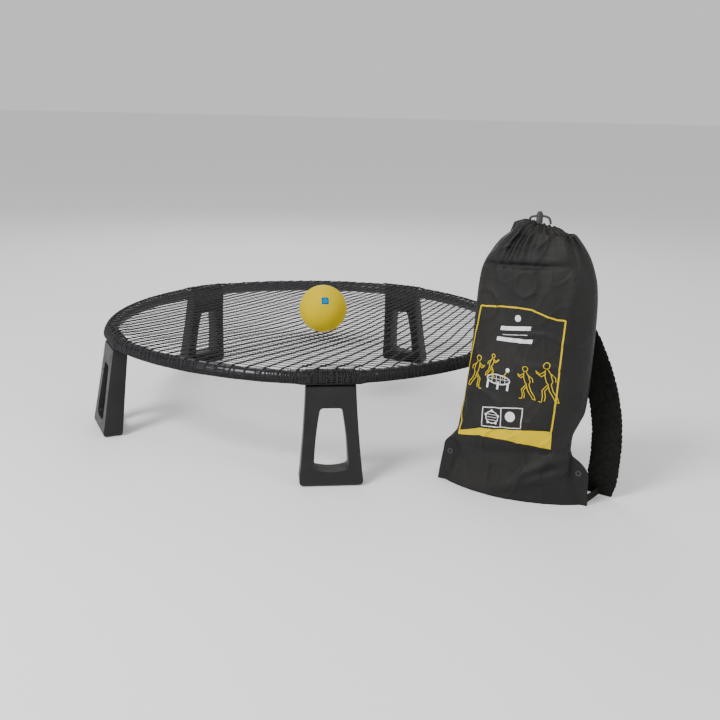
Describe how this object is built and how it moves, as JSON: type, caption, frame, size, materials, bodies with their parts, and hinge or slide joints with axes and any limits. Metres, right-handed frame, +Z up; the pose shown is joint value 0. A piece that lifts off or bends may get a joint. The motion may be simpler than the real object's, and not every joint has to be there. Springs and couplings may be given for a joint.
{
  "type": "roundnet set",
  "caption": "Low round trampoline-like net on a tubular rim with folding windowed legs, a bouncing ball resting on it, and a drawstring carry bag standing beside it.",
  "frame": {"origin": "on the ground, under the middle of the whole set's box (ring, ball and bag together, without the drawcord)", "axes": "+X to the right as the front leg is faced, +Y to the back, +Z up"},
  "size_m": [1.0616, 1.0036, 0.5112],
  "materials": {
    "rim_tube": "satin",
    "rim_coupler": "satin",
    "leg_plastic": "satin",
    "net_mesh": "matte",
    "hem_cord": "matte",
    "ball_skin": "matte",
    "ball_valve": "matte",
    "bag_cloth": "matte",
    "eyelet_metal": "satin",
    "strap_webbing": "matte",
    "drawcord": "matte",
    "lock_plastic": "satin",
    "lock_button": "satin",
    "spring_steel": "satin"
  },
  "bodies": {
    "ring": {"rim_tube_1": "rim_tube", "rim_coupler_1": "rim_coupler", "rim_tube_2": "rim_tube", "rim_coupler_2": "rim_coupler", "rim_tube_3": "rim_tube", "rim_coupler_3": "rim_coupler", "rim_tube_4": "rim_tube", "rim_coupler_4": "rim_coupler", "rim_tube_5": "rim_tube", "rim_coupler_5": "rim_coupler", "net": "net_mesh", "net_hem_cord": "hem_cord"},
    "leg_1": {"leg_1": "leg_plastic"},
    "leg_2": {"leg_2": "leg_plastic"},
    "leg_3": {"leg_3": "leg_plastic"},
    "leg_4": {"leg_4": "leg_plastic"},
    "leg_5": {"leg_5": "leg_plastic"},
    "ball": {"ball_shell": "ball_skin", "ball_valve": "ball_valve"},
    "bag": {"bag_shell": "bag_cloth", "bag_base_panel": "bag_cloth", "bag_neck_hem": "bag_cloth", "bag_eyelet_left": "eyelet_metal", "bag_eyelet_right": "eyelet_metal", "shoulder_strap_right": "strap_webbing", "shoulder_strap_left": "strap_webbing", "strap_patch": "strap_webbing", "strap_link_right": "strap_webbing", "strap_link_left": "strap_webbing", "drawcord": "drawcord", "cord_lock_body": "lock_plastic", "cord_lock_spring": "spring_steel"},
    "lock_button": {"cord_lock_button": "lock_button"}
  },
  "joints": [
    {"name": "leg_1_fold", "type": "hinge", "parent": "ring", "child": "leg_1", "pos_m": [0.0064, -0.40193, 0.197], "axis": [0.9851, 0.1719, 0], "range_deg": [0, 85]},
    {"name": "leg_2_fold", "type": "hinge", "parent": "ring", "child": "leg_2", "pos_m": [0.36972, -0.02702, 0.197], "axis": [0.1409, 0.99, 0], "range_deg": [0, 85]},
    {"name": "leg_3_fold", "type": "hinge", "parent": "ring", "child": "leg_3", "pos_m": [0.12543, 0.43437, 0.197], "axis": [-0.898, 0.4399, 0], "range_deg": [0, 85]},
    {"name": "leg_4_fold", "type": "hinge", "parent": "ring", "child": "leg_4", "pos_m": [-0.38887, 0.34461, 0.197], "axis": [-0.6959, -0.7181, 0], "range_deg": [0, 85]},
    {"name": "leg_5_fold", "type": "hinge", "parent": "ring", "child": "leg_5", "pos_m": [-0.46243, -0.17225, 0.197], "axis": [0.4679, -0.8838, 0], "range_deg": [0, 85]},
    {"name": "ball_lift", "type": "slide", "parent": "ring", "child": "ball", "axis": [0, 0, 1], "range_m": [0, 0.3]},
    {"name": "bag_move", "type": "slide", "parent": "ring", "child": "bag", "axis": [0.6609, -0.7505, 0], "range_m": [0, 0.2]},
    {"name": "lock_press", "type": "slide", "parent": "bag", "child": "lock_button", "axis": [0, 0, -1], "range_m": [0, 0.0025], "stiffness_N_per_m": 600, "springref_m": -0.001, "deforming": ["cord_lock_spring"]}
  ]
}
